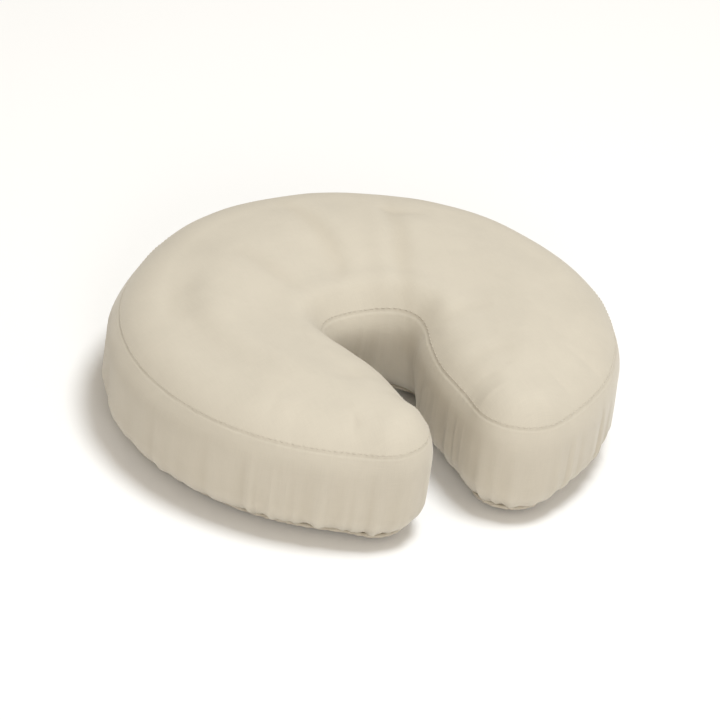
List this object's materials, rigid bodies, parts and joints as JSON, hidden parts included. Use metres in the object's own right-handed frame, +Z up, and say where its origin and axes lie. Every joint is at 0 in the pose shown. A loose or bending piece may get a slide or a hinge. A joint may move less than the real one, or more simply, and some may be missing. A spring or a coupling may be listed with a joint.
{
  "type": "face cradle cushion",
  "caption": "Crescent-shaped face rest cushion with a keyhole opening, foam core, zipped casing and fitted cotton cover, for the head end of a massage table.",
  "frame": {"origin": "under the middle of the cushion's outline, on the flat plane that its loop strips rest on", "axes": "+Z up out of the face side, +Y towards the crown of the head, so the open chin end is at -Y, and +X across"},
  "size_m": [0.3124, 0.2872, 0.086],
  "materials": {
    "cotton": "plain-woven natural cotton, matt",
    "elastic": "woven elastic, matt",
    "vinyl": "upholstery vinyl, satin",
    "loop": "brushed loop fabric, matt",
    "fibre": "polyester fibre wadding",
    "memory_foam": "open-cell slow-recovery foam",
    "firm_foam": "open-cell firm foam",
    "zip_tape": "woven tape",
    "zip_nylon": "moulded nylon",
    "nickel": "satin nickel plate"
  },
  "bodies": {
    "cushion": {"foam_base_layer": "firm_foam", "foam_comfort_layer": "memory_foam", "fibre_wrap": "fibre", "casing_top_panel": "vinyl", "casing_outer_boxing": "vinyl", "casing_inner_boxing": "vinyl", "casing_bottom_panel": "vinyl", "zip_facing": "vinyl", "cover_top_panel": "cotton", "cover_outer_skirt": "cotton", "cover_inner_skirt": "cotton", "cover_hem_casing": "cotton", "cover_hem_elastic": "elastic", "loop_strip_left": "loop", "loop_strip_right": "loop", "zip_tape_front": "zip_tape", "zip_tape_rear": "zip_tape", "zip_coil_front": "zip_nylon", "zip_coil_rear": "zip_nylon", "zip_top_stop": "nickel", "zip_bottom_stop": "nickel", "vent_eyelet_left": "nickel", "vent_eyelet_right": "nickel", "vent_washer_left": "nickel", "vent_washer_right": "nickel"},
    "zip_slider": {"zip_slider": "nickel"},
    "zip_pull": {"zip_pull_tab": "nickel"}
  },
  "joints": [
    {"name": "zip_slide", "type": "slide", "parent": "cushion", "child": "zip_slider", "axis": [-1, 0, 0], "range_m": [0, 0.1028]},
    {"name": "zip_pull_hinge", "type": "hinge", "parent": "zip_slider", "child": "zip_pull", "pos_m": [0.0538, 0.07108, 0.0047], "axis": [0, -1, 0], "range_deg": [0, 150]}
  ]
}
